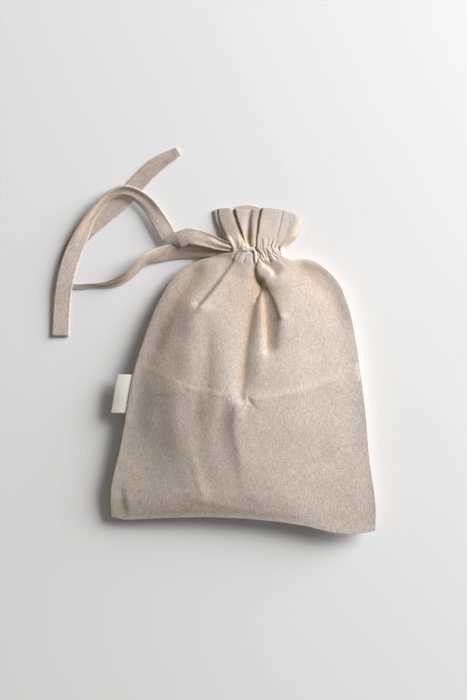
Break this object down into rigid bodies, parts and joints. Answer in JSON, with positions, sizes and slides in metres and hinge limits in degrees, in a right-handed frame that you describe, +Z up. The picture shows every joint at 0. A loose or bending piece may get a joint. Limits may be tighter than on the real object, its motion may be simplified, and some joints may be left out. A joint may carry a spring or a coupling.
{
  "type": "linen bread bag",
  "caption": "Drawstring bread bag of plain linen, gathered shut at the neck by a flat cloth tie with free ends, with a bare side tab.",
  "frame": {"origin": "middle of the flat patch of the back panel that the bag lies on", "axes": "+Z up from the surface it lies on, +Y from the hem towards the neck, +X to the right as seen from above"},
  "size_m": [0.3574, 0.4274, 0.0268],
  "materials": {
    "linen": "matte natural linen weave",
    "tape": "matte woven cotton tape"
  },
  "bodies": {
    "root": {"front_panel": "linen", "back_panel": "linen", "tie": "linen", "label_tab": "tape"}
  },
  "joints": []
}
